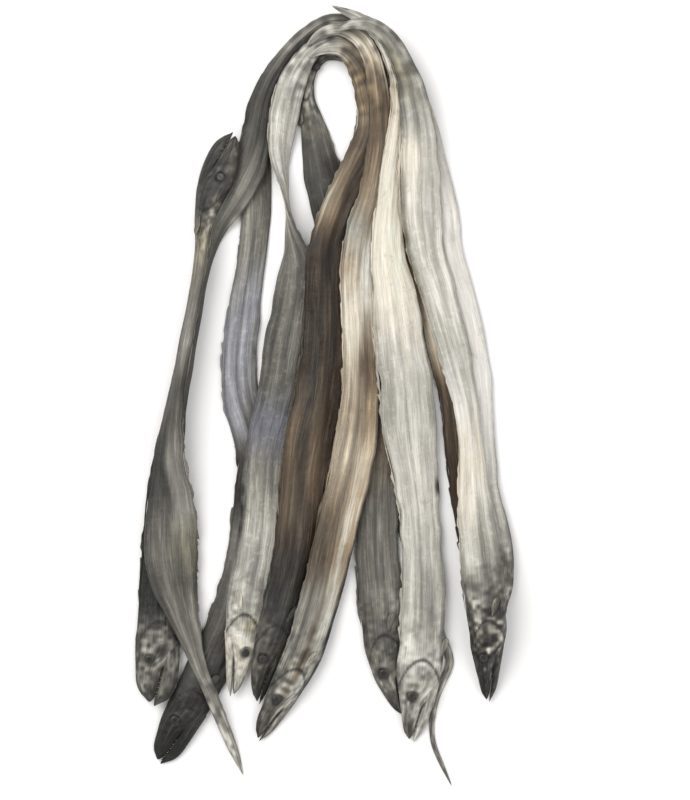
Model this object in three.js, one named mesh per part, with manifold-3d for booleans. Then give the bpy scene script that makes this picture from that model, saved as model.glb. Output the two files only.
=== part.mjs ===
import * as THREE from "three";
import { mergeVertices } from "three/addons/utils/BufferGeometryUtils.js";
import Module from "manifold-3d";

const wasm = await Module();
wasm.setup();

// A bunch of twelve dried ribbonfish, held together where their tails cross at the top and laid flat.
// Millimetres. +Y runs from the hanging ends up to the crossing tails, +Z up from the table, and the
// origin lies on the table below the middle of the bunch.

// One dried fish, which lies on its side: a long flat ribbon, thickest at the gill cover.
const thicknessShare = 0.16; // thickness of the body against its depth from belly to back
const leastThickness = 1.6; // thickness that the dried skin and fin keep at the tail
const ridgeShift = 0.08; // how far the thickest line lies from the middle towards the back
const curlShare = 0.045; // rise of the middle above the two edges, against the depth
const headLength = 78;
const gillSetback = 47; // from the tip of the snout
const headSwelling = 0.55; // extra thickness at the gill cover
const snoutSharpness = 9; // length over which the snout closes
const tailSharpness = 14; // length over which the tail tip closes
const eyeSetback = 33; // from the tip of the snout
const eyeShare = 0.15; // radius of the eye against the depth of the head there
const eyeProud = 0.7;
const eyeHeight = 0.16; // how far the eye sits towards the back, against the depth
const mouthLength = 25;
const mouthGape = 1.4;
const mouthHeight = -0.12; // the jaw line, against the depth at the snout

// The mesh of one fish.
const aroundCount = 12;
const stationCount = 39;
const bendWeight = 26; // how much closer the stations stand where the fish bends
const turnWeight = 15; // and where it turns over
const headWeight = 2.6; // and towards the snout
const routeStep = 2;

// How the fish lie on the table and on each other.
const pileGap = 0.8;
const sagStiffness = 0.0042; // how sharply a stiff dried ribbon may bend down past what carries it
const sagRounds = 60;
const edgeShare = 0.2; // what lies further than this from the middle holds up its own edge
const tiltLimit = 0.35; // steepest slope across a fish that has one edge on another
const cellSize = 1.5;
const fieldHalfWidth = 160;
const fieldHalfLength = 300;
const leastArea = 1e-6;

// The fish from the bottom of the pile to the top. Each lie runs from the tail to the snout, and a row
// is x, y, the depth of the fish there, and how far it is turned about its own length, in degrees.
const bunch = [
  {
    name: "ribbonfish_tail_down",
    colour: 0x55534c,
    lie: [
      [90, -273, 3, 0],
      [76, -238, 3.5, 0],
      [79, -211, 4.5, 0],
      [89, -186, 5.5, 0],
      [82, -166, 7, 0],
      [73, -140, 11, 0],
      [63, -105, 15, 0],
      [50, -38, 21, 0],
      [33, 32, 26, 0],
      [15, 102, 31, 0],
      [4, 137, 30, 0],
      [-2, 162, 26, 0],
      [-7, 187, 18, 0],
      [-12, 210, 12, 0],
      [-8, 229, 10, 0],
      [2, 239, 10, 0],
      [14, 238, 9, 0],
      [21, 231, 8, 0],
    ],
  },
  {
    name: "ribbonfish_middle_right",
    colour: 0x5f5a4c,
    lie: [
      [-3, 246, 6, 0],
      [9, 251, 8, 0],
      [22, 251, 10, 0],
      [33, 242, 11, 0],
      [40, 227, 12, 0],
      [44, 207, 14, 0],
      [44, 137, 18, 0],
      [43, 67, 23, 0],
      [42, -3, 27, 0],
      [40, -38, 28, 0],
      [38, -73, 29, 0],
      [38, -108, 31, 0],
      [40, -143, 32, 0],
      [42, -171, 29, 0],
      [46, -194, 23, 0],
      [51, -210, 14, 0],
      [56, -224, 7, 0],
    ],
  },
  {
    name: "ribbonfish_dark_strip",
    colour: 0x4b3e30,
    lie: [
      [14, 260, 6, 0],
      [26, 262, 8, 0],
      [38, 253, 10, 0],
      [47, 237, 11, 0],
      [53, 214, 12, 0],
      [58, 175, 14, 0],
      [66, 102, 19, 0],
      [75, 67, 20, 0],
      [84, 32, 21, 0],
      [92, -3, 21, 0],
      [96, -38, 22, 0],
      [102, -73, 24, 0],
      [108, -108, 25, 0],
      [111, -143, 22, 0],
      [113, -178, 9, 0],
    ],
  },
  {
    name: "ribbonfish_far_right",
    colour: 0xc3c5c0,
    lie: [
      [19, 267, 6, 0],
      [30, 262, 9, 0],
      [41, 251, 11, 0],
      [50, 236, 13, 0],
      [59, 218, 15, 0],
      [67, 200, 18, 0],
      [75, 170, 20, 0],
      [82, 137, 22, 0],
      [87, 102, 22, 0],
      [96, 67, 22, 0],
      [104, 32, 22, 0],
      [108, -3, 22, 0],
      [110, -38, 22, 0],
      [111, -73, 27, 0],
      [116, -105, 33, 0],
      [117, -128, 32, 0],
      [116, -148, 25, 0],
      [115, -172, 17, 0],
      [115, -193, 9, 0],
    ],
  },
  {
    name: "ribbonfish_left_lower",
    colour: 0x62625f,
    lie: [
      [38, 232, 7, 0],
      [29, 245, 9, 0],
      [15, 253, 10, 0],
      [-1, 254, 11, 0],
      [-15, 247, 12, 0],
      [-29, 233, 14, 0],
      [-41, 210, 18, 0],
      [-47, 184, 20, 0],
      [-47, 155, 22, 0],
      [-47, 123, 20, 0],
      [-51, 88, 20, 0],
      [-56, 53, 24, 0],
      [-59, 18, 25, 0],
      [-57, -3, 26, 0],
      [-50, -24, 28, 0],
      [-45, -46, 30, 0],
      [-48, -75, 30, 0],
      [-51, -108, 30, 0],
      [-58, -136, 30, 0],
      [-65, -158, 30, 0],
      [-75, -181, 31, 0],
      [-87, -205, 31, 0],
      [-99, -227, 27, 0],
      [-109, -246, 22, 0],
      [-115, -257, 17, 0],
    ],
  },
  {
    name: "ribbonfish_left_rear",
    colour: 0x50504e,
    lie: [
      [46, 242, 6, 0],
      [34, 253, 8, 0],
      [20, 261, 9, 0],
      [4, 261, 10, 0],
      [-11, 252, 11, 0],
      [-26, 236, 13, 0],
      [-41, 208, 17, 0],
      [-46, 179, 21, 0],
      [-53, 158, 27, 0],
      [-64, 138, 27, 0],
      [-77, 117, 20, 20],
      [-83, 95, 15, 44],
      [-88, 67, 14, 48],
      [-94, 32, 15, 48],
      [-101, -3, 17, 42],
      [-107, -38, 22, 25],
      [-111, -73, 25, 8],
      [-113, -110, 28, 0],
      [-114, -143, 30, 0],
      [-115, -171, 32, 0],
      [-116, -199, 30, 0],
      [-119, -216, 22, 0],
    ],
  },
  {
    name: "ribbonfish_leaf",
    colour: 0xb2b0a4,
    lie: [
      [31, 224, 6, 0],
      [27, 235, 8, 0],
      [17, 244, 9, 0],
      [5, 247, 10, 0],
      [-7, 241, 12, 0],
      [-17, 228, 17, 0],
      [-25, 207, 21, 5],
      [-28, 190, 20, 12],
      [-30, 176, 19, 28],
      [-30, 163, 19, 50],
      [-28, 150, 18, 70],
      [-26, 137, 18, 84],
      [-24, 123, 19, 98],
      [-21, 109, 21, 125],
      [-18, 95, 24, 155],
      [-19, 78, 27, 176],
      [-22, 60, 28, 180],
      [-27, 32, 30, 180],
      [-33, -3, 29, 180],
      [-41, -38, 29, 180],
      [-43, -73, 29, 180],
      [-46, -108, 29, 180],
      [-52, -140, 31, 180],
      [-54, -160, 30, 180],
      [-58, -181, 20, 180],
      [-63, -210, 7, 180],
    ],
  },
  {
    name: "ribbonfish_brown",
    colour: 0x4f3f30,
    lie: [
      [-10, 235, 7, 0],
      [0, 241, 9, 0],
      [12, 242, 12, 0],
      [23, 235, 17, 0],
      [31, 222, 22, 0],
      [36, 205, 26, 0],
      [37, 190, 28, 0],
      [34, 176, 28, 0],
      [28, 164, 26, 0],
      [21, 151, 25, 0],
      [14, 136, 25, 0],
      [9, 122, 26, 0],
      [4, 108, 26, 0],
      [2, 92, 28, 0],
      [2, 67, 30, 0],
      [1, 32, 33, 0],
      [-3, -3, 36, 0],
      [-10, -38, 36, 0],
      [-14, -73, 36, 0],
      [-17, -108, 34, 0],
      [-25, -139, 31, 0],
      [-35, -168, 25, 0],
      [-42, -193, 16, 0],
      [-46, -215, 7, 0],
    ],
  },
  {
    name: "ribbonfish_tan",
    colour: 0x96846e,
    lie: [
      [-12, 243, 6, 0],
      [-1, 252, 8, 0],
      [12, 255, 10, 0],
      [25, 249, 12, 0],
      [34, 235, 13, 0],
      [38, 216, 14, 0],
      [40, 190, 15, 0],
      [38, 165, 16, 0],
      [33, 137, 18, 0],
      [26, 109, 23, 0],
      [24, 81, 24, 0],
      [25, 58, 24, 0],
      [26, 32, 25, 0],
      [26, -3, 27, 0],
      [22, -38, 30, 0],
      [14, -73, 29, 0],
      [6, -108, 29, 0],
      [-1, -139, 28, 0],
      [-12, -175, 27, 0],
      [-28, -208, 22, 0],
      [-39, -228, 15, 0],
      [-46, -241, 9, 0],
    ],
  },
  {
    name: "ribbonfish_cream",
    colour: 0xd6ccb8,
    lie: [
      [6, 271, 5, 0],
      [15, 267, 7, 0],
      [27, 261, 9, 0],
      [40, 250, 11, 0],
      [50, 231, 13, 0],
      [55, 207, 15, 0],
      [53, 184, 16, 0],
      [49, 160, 17, 0],
      [46, 130, 19, 0],
      [45, 102, 23, 0],
      [50, 67, 31, 0],
      [54, 32, 36, 0],
      [59, -3, 39, 0],
      [61, -28, 39, 0],
      [64, -52, 33, 0],
      [67, -77, 29, 0],
      [69, -108, 29, 0],
      [70, -143, 31, 0],
      [69, -171, 32, 0],
      [67, -192, 31, 0],
      [66, -207, 28, 0],
      [64, -223, 20, 0],
      [61, -242, 10, 0],
    ],
  },
  {
    name: "ribbonfish_right",
    colour: 0xcdc8bc,
    lie: [
      [7, 252, 6, 0],
      [19, 257, 8, 0],
      [32, 257, 10, 0],
      [45, 248, 13, 0],
      [55, 231, 16, 0],
      [62, 209, 20, 0],
      [66, 184, 25, 0],
      [67, 160, 29, 0],
      [68, 132, 29, 0],
      [72, 100, 26, 0],
      [82, 67, 24, 0],
      [91, 32, 24, 15],
      [99, -3, 22, 35],
      [103, -38, 22, 35],
      [105, -73, 25, 20],
      [109, -110, 28, 0],
      [112, -141, 31, 0],
      [114, -169, 25, 0],
      [115, -193, 16, 0],
      [115, -214, 8, 0],
    ],
  },
  {
    name: "ribbonfish_left_front",
    colour: 0x7d7767,
    lie: [
      [-56, -265, 4, 0],
      [-67, -236, 8, 0],
      [-77, -210, 9, 0],
      [-87, -186, 11, 0],
      [-94, -163, 18, 0],
      [-100, -145, 26, 0],
      [-104, -127, 33, 0],
      [-106, -108, 38, 0],
      [-106, -85, 36, 10],
      [-106, -58, 31, 32],
      [-106, -31, 26, 42],
      [-102, -3, 21, 54],
      [-97, 25, 18, 56],
      [-92, 52, 17, 56],
      [-87, 79, 16, 55],
      [-84, 102, 16, 52],
      [-82, 123, 18, 30],
      [-75, 148, 25, 8],
      [-68, 168, 23, 0],
      [-61, 183, 13, 0],
    ],
  },
];

// The lie of a fish as even steps along its length: place, heading, depth and turn.
function routeOf(lie) {
  const places = lie.map(([x, y]) => new THREE.Vector3(x, y, 0));
  const sizes = lie.map(([, , depth, turn]) => new THREE.Vector3(depth, turn, 0));
  const path = new THREE.CatmullRomCurve3(places, false, "centripetal");
  const build = new THREE.CatmullRomCurve3(sizes, false, "catmullrom", 0.5);
  const fine = 24 * (lie.length - 1);
  const rows = [];
  for (let i = 0; i <= fine; i++) {
    const place = path.getPoint(i / fine);
    const size = build.getPoint(i / fine);
    const along = i ? rows[i - 1].along + place.distanceTo(rows[i - 1].place) : 0;
    rows.push({ along, place, heading: path.getTangent(i / fine), depth: size.x, turn: size.y });
  }
  const length = rows[fine].along;
  const steps = Math.round(length / routeStep);
  const at = (along) => {
    let k = rows.findIndex((row) => row.along > along);
    if (k < 0) k = fine;
    const [a, b] = [rows[k - 1], rows[k]];
    const part = THREE.MathUtils.clamp((along - a.along) / (b.along - a.along), 0, 1);
    return {
      along,
      place: a.place.clone().lerp(b.place, part),
      heading: a.heading.clone().lerp(b.heading, part).normalize(),
      depth: THREE.MathUtils.lerp(a.depth, b.depth, part),
      turn: THREE.MathUtils.degToRad(THREE.MathUtils.lerp(a.turn, b.turn, part)),
    };
  };
  return { length, steps, at };
}

// Depth and half thickness of a fish at a distance along it, with both ends rounded off.
function girthAt(route, along) {
  const fromSnout = route.length - along;
  const snout = Math.sqrt(THREE.MathUtils.clamp(fromSnout / snoutSharpness, 0.05, 1));
  const tail = Math.sqrt(THREE.MathUtils.clamp(along / tailSharpness, 0.05, 1));
  const depth = route.at(along).depth * snout * tail;
  const fromGills = Math.abs(fromSnout - gillSetback) / gillSetback;
  const swelling = 1 + headSwelling * THREE.MathUtils.smoothstep(1 - fromGills, 0, 1);
  const half = 0.5 * (leastThickness + thicknessShare * depth) * swelling * Math.min(snout, tail);
  return { depth, half };
}

// Axes of a fish at a distance along it: to the back, to the snout, and out of the side that shows.
function axesAt({ place, heading, turn }) {
  const level = new THREE.Vector3(heading.y, -heading.x, 0);
  const up = new THREE.Vector3(0, 0, 1);
  const back = level.clone().multiplyScalar(Math.cos(turn)).addScaledVector(up, Math.sin(turn));
  const out = level.clone().multiplyScalar(-Math.sin(turn)).addScaledVector(up, Math.cos(turn));
  return new THREE.Matrix4().makeBasis(back, heading, out).setPosition(place);
}

function solidOf(geometry) {
  const bare = geometry.clone();
  bare.deleteAttribute("normal");
  bare.deleteAttribute("uv");
  const merged = mergeVertices(bare);
  const vertProperties = merged.attributes.position.array;
  const triVerts = new Uint32Array(merged.index.array);
  return new wasm.Manifold(new wasm.Mesh({ numProp: 3, vertProperties, triVerts }));
}

function geometryOf(solid) {
  const mesh = solid.getMesh();
  return new THREE.BufferGeometry()
    .setAttribute("position", new THREE.BufferAttribute(new Float32Array(mesh.vertProperties), 3))
    .setIndex(new THREE.BufferAttribute(new Uint32Array(mesh.triVerts), 1));
}

// Distances along a fish for its sections, closer together where it bends or turns and in the head.
function stationsOf(route) {
  const crowding = [0];
  const step = route.length / route.steps;
  for (let i = 1; i <= route.steps; i++) {
    const [a, b] = [route.at((i - 1) * step), route.at(i * step)];
    const bend = a.heading.angleTo(b.heading) * bendWeight;
    const turn = Math.abs(b.turn - a.turn) * turnWeight;
    const intoHead = THREE.MathUtils.clamp(1 - (route.length - i * step) / headLength, 0, 1);
    crowding.push(crowding[i - 1] + step * (1 + headWeight * intoHead ** 2) + bend + turn);
  }
  const stations = [];
  for (let k = 0; k < stationCount; k++) {
    const wanted = (crowding[route.steps] * k) / (stationCount - 1);
    const i = Math.max(1, crowding.findIndex((sum) => sum >= wanted - 1e-6));
    const part = (wanted - crowding[i - 1]) / (crowding[i] - crowding[i - 1]);
    stations.push((i - 1 + part) * step);
  }
  return stations;
}

// The ribbon of the body, a lens in section, drawn through its stations.
function ribbonGeometry(route) {
  const stations = stationsOf(route);
  const points = [];
  for (const along of stations) {
    const axes = axesAt(route.at(along));
    const { depth, half } = girthAt(route, along);
    for (let j = 0; j < aroundCount; j++) {
      const angle = (2 * Math.PI * j) / aroundCount;
      const thick = Math.sin(angle);
      const across = 0.5 * Math.cos(angle) + ridgeShift * thick * thick;
      const curl = curlShare * (1 - 4 * across * across);
      points.push(new THREE.Vector3(across * depth, 0, thick * half + curl * depth).applyMatrix4(axes));
    }
  }
  const faces = [];
  for (let i = 0; i + 1 < stations.length; i++)
    for (let j = 0; j < aroundCount; j++) {
      const k = (j + 1) % aroundCount;
      const [a, b] = [i * aroundCount + j, i * aroundCount + k];
      faces.push(a, a + aroundCount, b, b, a + aroundCount, b + aroundCount);
    }
  const last = (stations.length - 1) * aroundCount;
  const tailTip = points.length;
  const middleOf = (ring) => points[ring].clone().lerp(points[ring + aroundCount / 2], 0.5);
  points.push(middleOf(0), middleOf(last));
  for (let j = 0; j < aroundCount; j++) {
    const k = (j + 1) % aroundCount;
    faces.push(tailTip, j, k, tailTip + 1, last + k, last + j);
  }
  return new THREE.BufferGeometry().setFromPoints(points).setIndex(faces);
}

// Eyes that stand a little proud on both sides, as one flattened ball through the head.
function eyesGeometry(route) {
  const along = route.length - eyeSetback;
  const { depth, half } = girthAt(route, along);
  const radius = eyeShare * depth;
  const rise = curlShare * depth;
  return new THREE.SphereGeometry(radius, 10, 6)
    .scale(1, 1, (half + eyeProud) / radius)
    .translate(eyeHeight * depth, 0, rise)
    .applyMatrix4(axesAt(route.at(along)));
}

// The wedge between the jaws, open at the snout.
function mouthGeometry(route) {
  const along = route.length - mouthLength;
  const jawLine = mouthHeight * route.at(route.length).depth;
  const wedge = new THREE.Shape([
    new THREE.Vector2(jawLine, 0),
    new THREE.Vector2(jawLine + mouthGape / 2, mouthLength * 1.5),
    new THREE.Vector2(jawLine - mouthGape, mouthLength * 1.5),
  ]);
  return new THREE.ExtrudeGeometry(wedge, { depth: 40, bevelEnabled: false })
    .translate(0, 0, -20)
    .applyMatrix4(axesAt(route.at(along)));
}

// The pile as the height of its top over a grid, which starts as the bare table.
const columns = Math.ceil((2 * fieldHalfWidth) / cellSize);
const rowsOfCells = Math.ceil((2 * fieldHalfLength) / cellSize);
const pileTop = new Float32Array(columns * rowsOfCells);
const columnOf = (x) => Math.floor((x + fieldHalfWidth) / cellSize);
const rowOf = (y) => Math.floor((y + fieldHalfLength) / cellSize);

function highestNear(x, y) {
  let top = 0;
  for (let r = rowOf(y) - 1; r <= rowOf(y) + 1; r++)
    for (let c = columnOf(x) - 1; c <= columnOf(x) + 1; c++)
      top = Math.max(top, pileTop[r * columns + c]);
  return top;
}

// Calls visit for every cell under every face, with a way to mix the values of the face's three corners.
function overFaces(geometry, corners, visit) {
  const { array } = geometry.index;
  for (let face = 0; face < array.length; face += 3) {
    const ends = [corners[array[face]], corners[array[face + 1]], corners[array[face + 2]]];
    const [a, b, c] = ends.map((corner) => corner.point);
    const area = (b.x - a.x) * (c.y - a.y) - (c.x - a.x) * (b.y - a.y);
    if (Math.abs(area) < leastArea) continue;
    const [lowRow, highRow] = [rowOf(Math.min(a.y, b.y, c.y)), rowOf(Math.max(a.y, b.y, c.y))];
    const [lowColumn, highColumn] = [columnOf(Math.min(a.x, b.x, c.x)), columnOf(Math.max(a.x, b.x, c.x))];
    for (let row = lowRow; row <= highRow; row++)
      for (let column = lowColumn; column <= highColumn; column++) {
        const x = (column + 0.5) * cellSize - fieldHalfWidth;
        const y = (row + 0.5) * cellSize - fieldHalfLength;
        const shareB = ((x - a.x) * (c.y - a.y) - (c.x - a.x) * (y - a.y)) / area;
        const shareC = ((b.x - a.x) * (y - a.y) - (x - a.x) * (b.y - a.y)) / area;
        const shares = [1 - shareB - shareC, shareB, shareC];
        const mix = (valueOf) => ends.reduce((sum, corner, k) => sum + valueOf(corner) * shares[k], 0);
        if (Math.min(...shares) >= 0) visit(mix, { x, y, index: row * columns + column });
      }
  }
}

// Heights along a fish that keep above what is needed and bend no sharper than the fish can.
function easedOver(need, step) {
  const carried = (i) => Math.max(...need.map((top, j) => top - sagStiffness * ((i - j) * step) ** 2));
  let height = need.map((_, i) => carried(i));
  for (let round = 0; round < sagRounds; round++)
    height = height.map((middle, i) => {
      const before = height[Math.max(i - 1, 0)];
      const after = height[Math.min(i + 1, height.length - 1)];
      return Math.max(need[i], (before + 2 * middle + after) / 4);
    });
  return height;
}

// Where a point lies on a fish seen from above: the step along it, and -0.5 to 0.5 from belly to back.
function spotOn(stations, point) {
  const gaps = stations.map(({ place }) => Math.hypot(place.x - point.x, place.y - point.y));
  const step = gaps.indexOf(Math.min(...gaps));
  const { place, heading, halfSpan } = stations[step];
  const offset = (point.x - place.x) * heading.y - (point.y - place.y) * heading.x;
  return { step, side: THREE.MathUtils.clamp(offset / (2 * halfSpan), -0.5, 0.5) };
}

// Lifts and tilts a flat fish until it rests on the table and on the fish below.
function laidOnPile(geometry, route) {
  const { position } = geometry.attributes;
  const step = route.length / route.steps;
  const stations = [];
  for (let i = 0; i <= route.steps; i++) {
    const station = route.at(i * step);
    const { depth, half } = girthAt(route, i * step);
    stations.push({ ...station, halfSpan: (depth / 2) * Math.abs(Math.cos(station.turn)) + half });
  }
  const corners = [];
  for (let v = 0; v < position.count; v++) {
    const point = new THREE.Vector3().fromBufferAttribute(position, v);
    corners.push({ point, ...spotOn(stations, point) });
  }
  const asked = [];
  const ask = (along, side, { x, y, z }) => {
    const top = highestNear(x, y);
    asked.push({ step: Math.round(along), side, height: top + (top > 0 ? pileGap : 0) - z });
  };
  for (const corner of corners) ask(corner.step, corner.side, corner.point);
  overFaces(geometry, corners, (mix, cell) => {
    const z = mix((corner) => corner.point.z);
    ask(mix((corner) => corner.step), mix((corner) => corner.side), { ...cell, z });
  });

  const neededBy = (test, height) => {
    const need = new Array(route.steps + 1).fill(-Infinity);
    for (const one of asked) if (test(one)) need[one.step] = Math.max(need[one.step], height(one));
    return easedOver(need, step);
  };
  const belly = neededBy(({ side }) => side < -edgeShare, ({ height }) => height);
  const back = neededBy(({ side }) => side > edgeShare, ({ height }) => height);
  stations.forEach(({ halfSpan }, i) => {
    belly[i] = Math.max(belly[i], back[i] - tiltLimit * 2 * halfSpan);
    back[i] = Math.max(back[i], belly[i] - tiltLimit * 2 * halfSpan);
  });
  const tilted = (one) => THREE.MathUtils.lerp(belly[one.step], back[one.step], one.side + 0.5);
  const middle = neededBy(() => true, (one) => one.height - tilted(one));
  corners.forEach((corner, v) => {
    corner.point.z += tilted(corner) + middle[corner.step];
    position.setZ(v, corner.point.z);
  });
  overFaces(geometry, corners, (mix, { index }) => {
    pileTop[index] = Math.max(pileTop[index], mix((corner) => corner.point.z));
  });
  return geometry;
}

const group = new THREE.Group();
for (const { name, colour, lie } of bunch) {
  const route = routeOf(lie);
  const solid = solidOf(ribbonGeometry(route))
    .add(solidOf(eyesGeometry(route)))
    .subtract(solidOf(mouthGeometry(route)));
  const mesh = new THREE.Mesh(
    laidOnPile(geometryOf(solid), route),
    new THREE.MeshStandardMaterial({ color: colour, roughness: 0.6, metalness: 0 }),
  );
  mesh.name = name;
  group.add(mesh);
}

export default group;
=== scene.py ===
import math

import bmesh
import bpy
import numpy as np
from mathutils import Matrix, Vector


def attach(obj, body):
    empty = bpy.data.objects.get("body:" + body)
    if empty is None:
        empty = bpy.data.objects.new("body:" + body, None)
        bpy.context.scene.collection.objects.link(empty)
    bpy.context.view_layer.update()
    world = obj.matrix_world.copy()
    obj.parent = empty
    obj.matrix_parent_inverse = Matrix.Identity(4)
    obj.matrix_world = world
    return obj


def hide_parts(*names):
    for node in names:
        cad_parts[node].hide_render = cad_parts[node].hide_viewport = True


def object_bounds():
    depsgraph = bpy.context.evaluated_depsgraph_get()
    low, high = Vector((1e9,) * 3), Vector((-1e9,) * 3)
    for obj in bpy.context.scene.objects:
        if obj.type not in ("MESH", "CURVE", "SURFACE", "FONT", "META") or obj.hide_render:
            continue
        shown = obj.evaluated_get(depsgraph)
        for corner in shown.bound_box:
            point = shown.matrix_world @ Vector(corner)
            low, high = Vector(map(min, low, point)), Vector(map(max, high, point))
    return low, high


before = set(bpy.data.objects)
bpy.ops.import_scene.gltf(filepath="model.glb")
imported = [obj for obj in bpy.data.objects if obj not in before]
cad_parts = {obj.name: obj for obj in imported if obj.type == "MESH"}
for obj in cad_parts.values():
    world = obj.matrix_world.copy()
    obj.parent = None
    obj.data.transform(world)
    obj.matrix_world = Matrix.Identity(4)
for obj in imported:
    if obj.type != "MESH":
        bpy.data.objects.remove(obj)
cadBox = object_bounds()
scene = bpy.context.scene
mm = 0.001
roomLeft = np.array(cadBox) + np.array([[0.1], [-0.1]]) * mm  # the box of the solids, a little smaller
print("frame loaded,", len(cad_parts), "fish in the bunch")


def eased(value, low, high):
    share = np.clip((value - low) / (high - low), 0, 1)
    return share * share * (3 - 2 * share)


def bump(value, middle, spread):
    return np.exp(-(((value - middle) / spread) ** 2))


# Smooth chance relief from -1 to 1, with so many cells along the fish and round it.
def chance(seed, along, around, cellsAlong, cellsAround):
    grid = np.random.default_rng(seed).uniform(-1, 1, (cellsAround, cellsAlong + 2))
    x, y = np.clip(along, 0, 1) * cellsAlong, (around % 1) * cellsAround
    i, j = x.astype(int), y.astype(int)
    s, t = eased(x - i, 0, 1), eased(y - j, 0, 1)
    j, k = j % cellsAround, (j + 1) % cellsAround
    near = grid[j, i] * (1 - s) + grid[j, i + 1] * s
    far = grid[k, i] * (1 - s) + grid[k, i + 1] * s
    return near * (1 - t) + far * t


def smoothed(values, count):
    padded = np.pad(values, (count // 2, count // 2), mode="edge")
    return np.convolve(padded, np.ones(count) / count, mode="valid")


# Rounds both ends of a grid, over such shares of its rows.
def roundEnds(u, first, last):
    return np.sqrt(np.clip(u / first, 0, 1)) * np.sqrt(np.clip((1 - u) / last, 0, 1))


skinMesh = {"rows": 490, "headRows": 150, "around": 52, "headLength": 72 * mm, "step": 1.2 * mm,
            "reach": 24 * mm, "smoothing": 9}


# The route as a smooth line in small even steps: distances, and rows of x, y and turn.
def routeSteps(route):
    rows = np.array([(x * mm, y * mm, math.radians(sum(turn))) for x, y, *turn in route])
    gaps = np.linalg.norm(np.diff(rows[:, :2], axis=0), axis=1)
    places = np.concatenate([[0], np.cumsum(gaps)])
    slopes = np.gradient(rows, places, axis=0)
    steps = np.linspace(0, places[-1], int(places[-1] / skinMesh["step"]) + 1)
    k = np.clip(np.searchsorted(places, steps, side="right") - 1, 0, len(gaps) - 1)
    h = gaps[k][:, None]
    t = (steps - places[k])[:, None] / h
    start = (1 + 2 * t) * (1 - t) ** 2 * rows[k] + t * (1 - t) ** 2 * h * slopes[k]
    end = t * t * (3 - 2 * t) * rows[k + 1] + t * t * (t - 1) * h * slopes[k + 1]
    return steps, start + end


# Where the upright plane across a fish cuts its solid, as points beside the route and above the table.
def cutPoints(corners, place, heading, level):
    spread = corners[..., :2] - place
    ahead, aside = spread @ heading, spread @ level
    points = []
    for a, b in ((0, 1), (1, 2), (2, 0)):
        cut = ahead[:, a] * ahead[:, b] < 0
        share = ahead[cut, a] / (ahead[cut, a] - ahead[cut, b])
        side = aside[cut, a] + share * (aside[cut, b] - aside[cut, a])
        height = corners[cut, a, 2] + share * (corners[cut, b, 2] - corners[cut, a, 2])
        points.append(np.stack([side, height], axis=1))
    points = np.concatenate(points)
    return points[abs(points[:, 0]) < skinMesh["reach"]]


# Measures the solid of a fish along its route: the middle between belly and back, how the line between
# them leans, how long it is, and how far the skin stands out on either side of it.
def measuredSpine(node, route):
    node.data.calc_loop_triangles()
    corners = np.array([[node.data.vertices[v].co[:] for v in triangle.vertices]
                        for triangle in node.data.loop_triangles])
    steps, rows = routeSteps(route)
    heading = np.gradient(rows[:, :2], steps, axis=0)
    heading /= np.linalg.norm(heading, axis=1)[:, None]
    level = np.stack([heading[:, 1], -heading[:, 0]], axis=1)
    found = []
    for i, (x, y, turn) in enumerate(rows):
        points = cutPoints(corners, (x, y), heading[i], level[i])
        if len(points) < 5:
            continue
        spans = np.linalg.norm(points[:, None] - points[None], axis=2)
        a, b = np.unravel_index(spans.argmax(), spans.shape)
        if (points[b] - points[a]) @ (math.cos(turn), math.sin(turn)) < 0:
            a, b = b, a
        side, height = (points[b] - points[a]) / spans[a, b]
        lean = math.atan2(side * -math.sin(turn) + height * math.cos(turn),
                          side * math.cos(turn) + height * math.sin(turn))
        middle = (points[a] + points[b]) / 2
        rise = (points - middle) @ (-height, side)
        found.append((steps[i], *middle, turn + lean, spans[a, b], rise.max(), rise.min()))
    found = np.array(found)
    side, height, lean, width, top, low = (
        smoothed(np.interp(steps, found[:, 0], found[:, c]), skinMesh["smoothing"]) for c in range(1, 7))
    middle = np.concatenate([rows[:, :2] + level * side[:, None], height[:, None]], axis=1)
    flat = np.concatenate([level, np.zeros((len(steps), 1))], axis=1)
    up = np.array([0, 0, 1])
    toBack = flat * np.cos(lean)[:, None] + up * np.sin(lean)[:, None]
    out = up * np.cos(lean)[:, None] - flat * np.sin(lean)[:, None]
    return {"steps": steps, "middle": middle, "toBack": toBack, "out": out, "width": width, "top": top,
            "low": low, "length": steps[-1]}


# What the spine says at any distance along it.
def spineAt(spine, along):
    def between(values):
        if values.ndim == 1:
            return np.interp(along, spine["steps"], values)
        return np.stack([np.interp(along, spine["steps"], values[:, c]) for c in range(3)], axis=1)
    return [between(spine[key]) for key in ("middle", "toBack", "out", "width", "top", "low")]


def toSnout(spine, along):
    return (spine["length"] - along) / mm


# A point of the fish: along is metres from the tail, across runs from -0.5 at the belly to 0.5 at the
# back, and lift is metres out of the middle of the body. Nothing leaves the box of the solids.
def onFish(spine, along, across, lift):
    middle, toBack, out, width, top, low = spineAt(spine, along)
    arch = (top + low) / 2 * (1 - 4 * np.clip(across, -0.5, 0.5) ** 2)
    points = middle + toBack * (across * width)[:, None] + out * (arch + lift)[:, None]
    return np.clip(points, *roomLeft)


# places on the head in mm from the snout, and across it as a share of its depth
head = {"coverEdge": 58, "coverBow": 70, "eyeFromSnout": 33, "eyeAcross": 0.16, "eyeRadius": 3.3,
        "mouthCorner": 26, "mouthStart": 1.0, "mouthDrop": 3.2, "lip": 0.3, "snoutTip": 2.2}
# how far each form stands out of the head, in mm
headRise = {"cover": 1.0, "ribs": 0.2, "cheekLine": -0.6, "lowerLine": -0.45, "socketRim": 0.5,
            "socket": -1.2, "cheek": -0.7, "brow": 0.6, "lip": 0.35, "nostril": -0.7}


# How far the mouth's line lies below the middle of the head, in mm.
def mouthLine(fromSnout):
    return -head["mouthStart"] - head["mouthDrop"] * (np.maximum(fromSnout, 0) / head["mouthCorner"]) ** 1.3


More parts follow.
